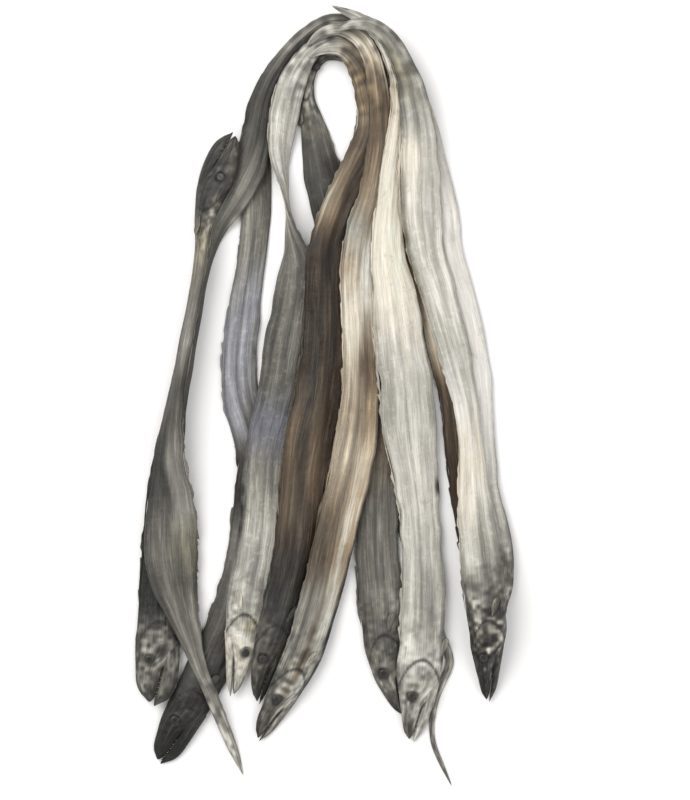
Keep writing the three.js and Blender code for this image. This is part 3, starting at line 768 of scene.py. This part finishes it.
# Each route runs from the tail to the snout, in mm, with a third number where the fish is turned on
# its length. The tones of back and belly stand at shares of that length. A mark is a share of the
# length, a place across, its reach along and across, its tone and its strength.
fishes = {
    "ribbonfish_tail_down": {
        "seed": 5, "slot": "dark_grey_skin", "oil": 0.2, "silvering": 0.3, "streaks": 0.5, "gape": 0.0,
        "ridge": 0.05, "curl": 0.3, "mottle": 0.8, "finAcross": -0.38,
        "route": [(90, -273), (76, -238), (79, -211), (89, -186), (82, -166), (73, -140), (63, -105),
            (50, -38), (33, 32), (15, 102), (4, 137), (-2, 162), (-7, 187), (-12, 210), (-8, 229), (2, 239),
            (14, 238), (21, 231)],
        "back": {0.06: "ash", 0.12: "silver", 0.16: "pewter", 0.2: "silver", 0.3: "ash", 0.68: "slate",
            0.74: "coal", 0.8: "coal", 0.85: "ash", 0.9: "ash", 1: "slate"},
        "belly": {0.06: "slate", 0.12: "pewter", 0.16: "ash", 0.2: "pewter", 0.6: "slate", 0.76: "coal",
            0.88: "slate"},
        "marks": [(0.8, 0.25, 0.02, 0.2, "soot", 0.5), (0.86, -0.2, 0.02, 0.2, "olive", 0.6)],
    },
    "ribbonfish_middle_right": {
        "seed": 8, "slot": "brown_skin", "oil": 0.35, "silvering": 0.3, "streaks": 0.6, "gape": 0.4,
        "ridge": -0.1, "curl": 0.3, "mottle": 0.8,
        "route": [(-3, 246), (9, 251), (22, 251), (33, 242), (40, 227), (44, 207), (44, 137), (43, 67),
            (42, -3), (40, -38), (38, -73), (38, -108), (40, -143), (42, -171), (46, -194), (51, -210),
            (56, -224)],
        "back": {0.04: "ash", 0.1: "sand", 0.16: "wheat", 0.3: "oak", 0.62: "bark", 0.7: "slate",
            0.89: "slate", 0.95: "ash", 1: "soot"},
        "belly": {0.04: "ash", 0.1: "sand", 0.16: "wheat", 0.3: "oak", 0.62: "bark", 0.7: "slate",
            0.78: "ash", 0.84: "ash", 0.89: "slate", 0.95: "pewter", 1: "coal"},
        "marks": [(0.84, 0.0, 0.02, 0.15, "pewter", 0.25), (0.93, 0.1, 0.012, 0.12, "silver", 0.4)],
    },
    "ribbonfish_dark_strip": {
        "seed": 12, "slot": "brown_skin", "oil": 0.4, "silvering": 0.2, "streaks": 0.6, "gape": 0.0,
        "ridge": 0.0, "curl": 0.2, "mottle": 0.6,
        "route": [(14, 260), (26, 262), (38, 253), (47, 237), (53, 214), (58, 175), (66, 102), (75, 67),
            (84, 32), (92, -3), (96, -38), (102, -73), (108, -108), (111, -143), (113, -178)],
        "back": {0.05: "pewter", 0.12: "bone", 0.4: "oak", 0.53: "sand", 0.6: "bark", 0.72: "coffee",
            1: "coal"},
        "belly": {0.05: "pewter", 0.38: "oak", 0.5: "wheat", 0.58: "oak", 0.68: "bark", 1: "coal"},
        "marks": [(0.53, 0.0, 0.03, 0.2, "wheat", 0.6)],
    },
    "ribbonfish_far_right": {
        "seed": 11, "slot": "pale_skin", "oil": 0.1, "silvering": 0.6, "streaks": 0.3, "gape": 0.2,
        "ridge": 0.1, "curl": 0.3, "mottle": 1.1,
        "route": [(19, 267), (30, 262), (41, 251), (50, 236), (59, 218), (67, 200), (75, 170), (82, 137),
            (87, 102), (96, 67), (104, 32), (108, -3), (110, -38), (111, -73), (116, -105), (117, -128),
            (116, -148), (115, -172), (115, -193)],
        "back": {0.12: "pewter", 0.2: "bone", 0.32: "chalk", 0.62: "chalk", 0.7: "bone", 0.8: "silver",
            0.86: "ash", 0.9: "coal", 1: "soot"},
        "belly": {0.04: "pewter", 0.12: "silver", 0.2: "bone", 0.32: "chalk", 0.62: "chalk", 0.74: "silver",
            0.8: "pewter", 0.86: "ash", 0.92: "slate", 1: "coal"},
        "marks": [(0.83, -0.1, 0.012, 0.15, "silver", 0.5), (0.88, 0.1, 0.01, 0.12, "pewter", 0.5)],
    },
    "ribbonfish_left_lower": {
        "seed": 3, "slot": "dark_grey_skin", "oil": 0.05, "silvering": 0.5, "streaks": 0.5, "gape": 0.2,
        "ridge": 0.05, "curl": 0.3, "mottle": 0.9,
        "route": [(38, 232), (29, 245), (15, 253), (-1, 254), (-15, 247), (-29, 233), (-41, 210),
            (-47, 184), (-47, 155), (-47, 123), (-51, 88), (-56, 53), (-59, 18), (-57, -3), (-50, -24),
            (-45, -46), (-48, -75), (-51, -108), (-58, -136), (-65, -158), (-75, -181), (-87, -205),
            (-99, -227), (-109, -246), (-115, -257)],
        "back": {0.05: "ash", 0.12: "pewter", 0.17: "soot", 0.24: "soot", 0.3: "ash", 0.38: "ash",
            0.45: "mist", 0.56: "mist", 0.6: "slate", 0.66: "soot", 0.72: "ash", 0.79: "slate",
            0.85: "coal", 1: "pitch"},
        "belly": {0.05: "ash", 0.15: "coal", 0.25: "coal", 0.36: "ash", 0.43: "mist", 0.51: "mist",
            0.57: "slate", 0.67: "coal", 0.74: "ash", 0.82: "coal", 1: "pitch"},
        "marks": [(0.48, -0.4, 0.05, 0.12, "slate", 0.7), (0.74, 0.1, 0.02, 0.2, "ash", 0.6)],
    },
    "ribbonfish_left_rear": {
        "seed": 2, "slot": "dark_grey_skin", "oil": 0.1, "silvering": 0.4, "streaks": 0.5, "gape": 0.25,
        "ridge": 0.0, "curl": 0.3, "mottle": 1.3,
        "route": [(46, 242), (34, 253), (20, 261), (4, 261), (-11, 252), (-26, 236), (-41, 208), (-46, 179),
            (-53, 158), (-64, 138), (-77, 117, 20), (-83, 95, 44), (-88, 67, 48), (-94, 32, 48),
            (-101, -3, 42), (-107, -38, 25), (-111, -73, 8), (-113, -110), (-114, -143), (-115, -171),
            (-116, -199), (-119, -216)],
        "back": {0.15: "ash", 0.2: "coal", 0.28: "coal", 0.33: "ash", 0.37: "pewter", 0.5: "slate",
            0.74: "coal", 0.8: "pitch", 0.87: "pitch", 0.92: "slate", 0.97: "slate", 1: "soot"},
        "belly": {0.05: "ash", 0.15: "soot", 0.26: "coal", 0.33: "ash", 0.5: "slate", 0.8: "coal",
            0.88: "soot", 0.93: "slate", 1: "coal"},
        "marks": [(0.36, -0.45, 0.03, 0.1, "silver", 0.7), (0.92, 0.0, 0.012, 0.2, "pewter", 0.6)],
    },
    "ribbonfish_leaf": {
        "seed": 4, "slot": "silver_grey_skin", "oil": 0.05, "silvering": 0.7, "streaks": 0.55, "gape": 0.9,
        "ridge": 0.08, "curl": 0.5, "mottle": 0.5,
        "route": [(31, 224), (27, 235), (17, 244), (5, 247), (-7, 241), (-17, 228), (-25, 207, 5),
            (-28, 190, 12), (-30, 176, 28), (-30, 163, 50), (-28, 150, 70), (-26, 137, 84), (-24, 123, 98),
            (-21, 109, 125), (-18, 95, 155), (-19, 78, 176), (-22, 60, 180), (-27, 32, 180), (-33, -3, 180),
            (-41, -38, 180), (-43, -73, 180), (-46, -108, 180), (-52, -140, 180), (-54, -160, 180),
            (-58, -181, 180), (-63, -210, 180)],
        "back": {0.15: "pewter", 0.2: "silver", 0.27: "bone", 0.32: "silver", 0.36: "ash", 0.43: "slate",
            0.57: "slate", 0.63: "dusk", 0.7: "ash", 0.77: "silver", 0.83: "pewter", 0.9: "silver",
            0.95: "cream", 1: "pewter"},
        "belly": {0.15: "pewter", 0.24: "bone", 0.3: "silver", 0.37: "ash", 0.46: "slate", 0.57: "slate",
            0.63: "dusk", 0.69: "ash", 0.76: "pewter", 0.84: "pewter", 0.9: "silver", 0.95: "cream",
            1: "silver"},
        "marks": [(0.9, 0.1, 0.012, 0.15, "olive", 0.7), (0.93, -0.25, 0.01, 0.12, "slate", 0.6),
            (0.87, -0.2, 0.01, 0.15, "bone", 0.5), (0.74, -0.48, 0.06, 0.1, "soot", 0.9)],
    },
    "ribbonfish_brown": {
        "seed": 6, "slot": "brown_skin", "oil": 0.5, "silvering": 0.15, "streaks": 0.66, "gape": 0.7,
        "ridge": 0.1, "curl": 0.4, "mottle": 0.8,
        "route": [(-10, 235), (0, 241), (12, 242), (23, 235), (31, 222), (36, 205), (37, 190), (34, 176),
            (28, 164), (21, 151), (14, 136), (9, 122), (4, 108), (2, 92), (2, 67), (1, 32), (-3, -3),
            (-10, -38), (-14, -73), (-17, -108), (-25, -139), (-35, -168), (-42, -193), (-46, -215)],
        "back": {0.04: "pewter", 0.1: "oak", 0.15: "oak", 0.2: "bark", 0.25: "oak", 0.31: "oak",
            0.35: "umber", 0.5: "umber", 0.6: "bark", 0.72: "bark", 0.78: "umber", 0.84: "soot",
            0.9: "slate", 1: "coal"},
        "belly": {0.04: "pewter", 0.1: "bark", 0.25: "coffee", 0.33: "umber", 0.55: "umber", 0.66: "coffee",
            0.76: "umber", 0.86: "soot", 0.93: "coal", 1: "pitch"},
        # the silver mark at 0.29 is a painted highlight along the back edge at the loop
        "marks": [(0.29, 0.44, 0.035, 0.11, "silver", 0.7), (0.56, 0.2, 0.08, 0.06, "pitch", 0.5),
            (0.72, 0.15, 0.04, 0.12, "ash", 0.5), (0.8, 0.1, 0.02, 0.2, "soot", 0.6)],
    },
    "ribbonfish_tan": {
        "seed": 7, "slot": "tan_skin", "oil": 0.4, "silvering": 0.25, "streaks": 0.64, "gape": 0.5,
        "ridge": -0.02, "curl": 0.6, "mottle": 0.8,
        "route": [(-12, 243), (-1, 252), (12, 255), (25, 249), (34, 235), (38, 216), (40, 190), (38, 165),
            (33, 137), (26, 109), (24, 81), (25, 58), (26, 32), (26, -3), (22, -38), (14, -73), (6, -108),
            (-1, -139), (-12, -175), (-28, -208), (-39, -228), (-46, -241)],
        "back": {0.04: "pewter", 0.1: "sand", 0.15: "oak", 0.21: "bark", 0.28: "oak", 0.34: "pewter",
            0.39: "wheat", 0.44: "cream", 0.5: "sand", 0.55: "wheat", 0.62: "sand", 0.69: "oak",
            0.75: "bark", 0.8: "pewter", 0.87: "ash", 0.93: "slate", 1: "coal"},
        "belly": {0.04: "pewter", 0.12: "sand", 0.17: "bark", 0.3: "wheat", 0.38: "silver", 0.43: "bone",
            0.49: "bark", 0.54: "oak", 0.61: "wheat", 0.69: "wheat", 0.75: "oak", 0.82: "silver",
            0.9: "pewter", 1: "ash"},
        # the ivory mark at 0.46 paints the left face of the folded body lit, and the bark mark at 0.49
        # paints its right face in shade
        "marks": [(0.46, 0.27, 0.06, 0.1, "ivory", 0.8), (0.49, -0.2, 0.03, 0.12, "bark", 0.4),
            (0.79, -0.22, 0.1, 0.1, "bone", 0.85), (0.85, -0.46, 0.09, 0.07, "soot", 0.9),
            (0.87, 0.0, 0.07, 0.08, "coffee", 0.7), (0.8, 0.3, 0.06, 0.12, "ash", 0.5)],
    },
    "ribbonfish_cream": {
        "seed": 9, "slot": "pale_skin", "oil": 0.1, "silvering": 0.5, "streaks": 0.34, "gape": 1.6,
        "ridge": 0.06, "curl": 0.9, "mottle": 0.6, "finAcross": -0.42,
        "route": [(6, 271), (15, 267), (27, 261), (40, 250), (50, 231), (55, 207), (53, 184), (49, 160),
            (46, 130), (45, 102), (50, 67), (54, 32), (59, -3), (61, -28), (64, -52), (67, -77), (69, -108),
            (70, -143), (69, -171), (67, -192), (66, -207), (64, -223), (61, -242)],
        "back": {0.03: "pewter", 0.11: "bone", 0.16: "sand", 0.22: "cream", 0.3: "ivory", 0.37: "ivory",
            0.43: "cream", 0.5: "bone", 0.56: "silver", 0.64: "bone", 0.7: "bone", 0.75: "silver",
            0.91: "silver", 0.96: "pewter", 1: "soot"},
        "belly": {0.03: "pewter", 0.12: "silver", 0.22: "cream", 0.38: "ivory", 0.5: "bone", 0.56: "silver",
            0.68: "bone", 0.75: "silver", 0.86: "pewter", 0.93: "silver"},
        "marks": [(0.36, -0.47, 0.07, 0.07, "olive", 0.6), (0.67, -0.48, 0.012, 0.07, "coal", 0.9),
            (0.985, 0.3, 0.012, 0.3, "coal", 0.8), (0.57, 0.1, 0.03, 0.3, "silver", 0.5),
            (0.88, -0.46, 0.012, 0.05, "coal", 0.8), (0.93, 0.1, 0.012, 0.2, "bone", 0.4)],
    },
    "ribbonfish_right": {
        "seed": 10, "slot": "pale_skin", "oil": 0.12, "silvering": 0.55, "streaks": 0.34, "gape": 0.8,
        "ridge": 0.02, "curl": 0.9, "mottle": 1.6,
        "route": [(7, 252), (19, 257), (32, 257), (45, 248), (55, 231), (62, 209), (66, 184), (67, 160),
            (68, 132), (72, 100), (82, 67), (91, 32, 15), (99, -3, 35), (103, -38, 35), (105, -73, 20),
            (109, -110), (112, -141), (114, -169), (115, -193), (115, -214)],
        "back": {0.04: "pewter", 0.13: "olive", 0.2: "pewter", 0.25: "cream", 0.38: "silver", 0.45: "bone",
            0.52: "silver", 0.59: "chalk", 0.67: "ivory", 0.73: "cream", 0.8: "silver", 0.86: "ash",
            0.92: "coal", 1: "soot"},
        "belly": {0.04: "pewter", 0.12: "ash", 0.2: "silver", 0.3: "bone", 0.45: "bone", 0.52: "silver",
            0.6: "bone", 0.68: "cream", 0.76: "silver", 0.83: "ash", 0.9: "slate", 1: "coal"},
        # the small silver and bone specks on the head, from 0.885 to 0.95, are painted highlights
        "marks": [(0.38, 0.47, 0.08, 0.09, "olive", 0.7), (0.885, 0.2, 0.006, 0.07, "silver", 0.55),
            (0.9, -0.15, 0.006, 0.06, "bone", 0.5), (0.925, 0.0, 0.005, 0.06, "silver", 0.5),
            (0.95, 0.15, 0.006, 0.06, "bone", 0.5), (0.865, -0.3, 0.01, 0.1, "soot", 0.6)],
    },
    "ribbonfish_left_front": {
        "seed": 1, "slot": "tan_skin", "oil": 0.15, "silvering": 0.3, "streaks": 0.6, "gape": 0.3,
        "ridge": 0.02, "curl": 0.7, "mottle": 1,
        "route": [(-56, -265), (-67, -236), (-77, -210), (-87, -186), (-94, -163), (-100, -145),
            (-104, -127), (-106, -108), (-106, -85, 10), (-106, -58, 32), (-106, -31, 42), (-102, -3, 54),
            (-97, 25, 56), (-92, 52, 56), (-87, 79, 55), (-84, 102, 52), (-82, 123, 30), (-75, 148, 8),
            (-68, 168), (-61, 183)],
        "back": {0.04: "silver", 0.12: "ash", 0.25: "ash", 0.3: "slate", 0.36: "olive", 0.42: "pewter",
            0.5: "ash", 0.55: "slate", 0.6: "coal", 0.67: "ash", 0.76: "slate", 0.82: "olive",
            0.88: "coal"},
        "belly": {0.04: "silver", 0.12: "ash", 0.3: "slate", 0.4: "slate", 0.5: "soot", 0.6: "coal",
            0.72: "slate", 0.82: "olive", 0.88: "coal", 0.95: "soot", 1: "coal"},
        # the bone and silver specks at 0.94 and 0.96 are painted glints on the head, the pewter mark at
        # 0.865 a painted highlight on the back edge
        "marks": [(0.94, 0.05, 0.006, 0.06, "bone", 0.8), (0.96, -0.1, 0.005, 0.06, "silver", 0.7),
            (0.89, 0.0, 0.012, 0.3, "soot", 0.5), (0.865, 0.4, 0.02, 0.16, "pewter", 0.6)],
    },
}

for name, fish in fishes.items():
    spine = measuredSpine(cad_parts[name], fish["route"])
    skin, slot = skinMaterial(name, fish), fish["slot"]
    dress(skinSheet(name + "_body", skinMesh, fish, spine, bodyPoints, rowPlace), skin, name)
    dress(skinSheet(name + "_fin", fin, fish, spine, finPoints, finPlace), backMembrane)
    dress(skinSheet(name + "_jaw", jaw, fish, spine, jawPoints, jawPlace), skin)
    for side, way in (("shown", 1), ("under", -1)):
        small = skinSheet(f"{name}_sidefin_{side}", sideFin, fish, spine,
                          lambda *given: sideFinPoints(*given, way), sideFinPlace)
        dress(small, sideMembrane)
    dress(eyePair(name + "_eyes", spine), darkEye)
    dress(teethRow(name + "_teeth", fish, spine), toothBone)
    print("dressed", name, "over", round(spine["length"] / mm), "mm")

table = {"size": 6, "below": 0.2 * mm, "low": (250, 249, 248), "high": (252, 251, 250), "scale": 3.0,
         "roughness": 0.8, "bump": 0.4, "bumpHeight": 0.2 * mm}
bm = bmesh.new()
bmesh.ops.create_grid(bm, x_segments=1, y_segments=1, size=table["size"] / 2)
bmesh.ops.translate(bm, verts=bm.verts, vec=(0, 0, -table["below"]))
floor = finished("floor", bm)
floor.data.materials.append(plainMaterial("paleTable", table))

lamps = {
    "windowLamp": {"place": (-0.85, 0.8, 1.4), "size": 1.5, "power": 26, "colour": (1.0, 0.995, 0.985)},
    "fillLamp": {"place": (1.0, -0.5, 1.6), "size": 1.4, "power": 7, "colour": (0.97, 0.98, 1.0)},
}
for name, given in lamps.items():
    lamp = bpy.data.lights.new(name, "AREA")
    lamp.shape = "DISK"
    lamp.size = given["size"]
    lamp.energy = given["power"]
    lamp.color = given["colour"]
    piece = bpy.data.objects.new(name, lamp)
    piece.location = given["place"]
    piece.rotation_euler = (-Vector(given["place"])).to_track_quat("-Z", "Y").to_euler()  # at the bunch
    scene.collection.objects.link(piece)

world = bpy.data.worlds.new("studio")
world.use_nodes = True
sky = {"Color": (1, 1, 1, 1), "Strength": 0.62}
feed(world.node_tree, world.node_tree.nodes["Background"].inputs, sky)
scene.world = world
scene.view_settings.view_transform = "Standard"

# looks straight down, as in the photo
cameraSetup = {"lens": 100, "sensor": 36, "height": 1.556, "over": (0.0154, -0.0028)}
lens = bpy.data.cameras.new("camera")
lens.lens = cameraSetup["lens"]
lens.sensor_width = cameraSetup["sensor"]
camera = bpy.data.objects.new("camera", lens)
camera.location = (*cameraSetup["over"], cameraSetup["height"])
scene.collection.objects.link(camera)
scene.camera = camera
print("floor, lamps and camera in place")
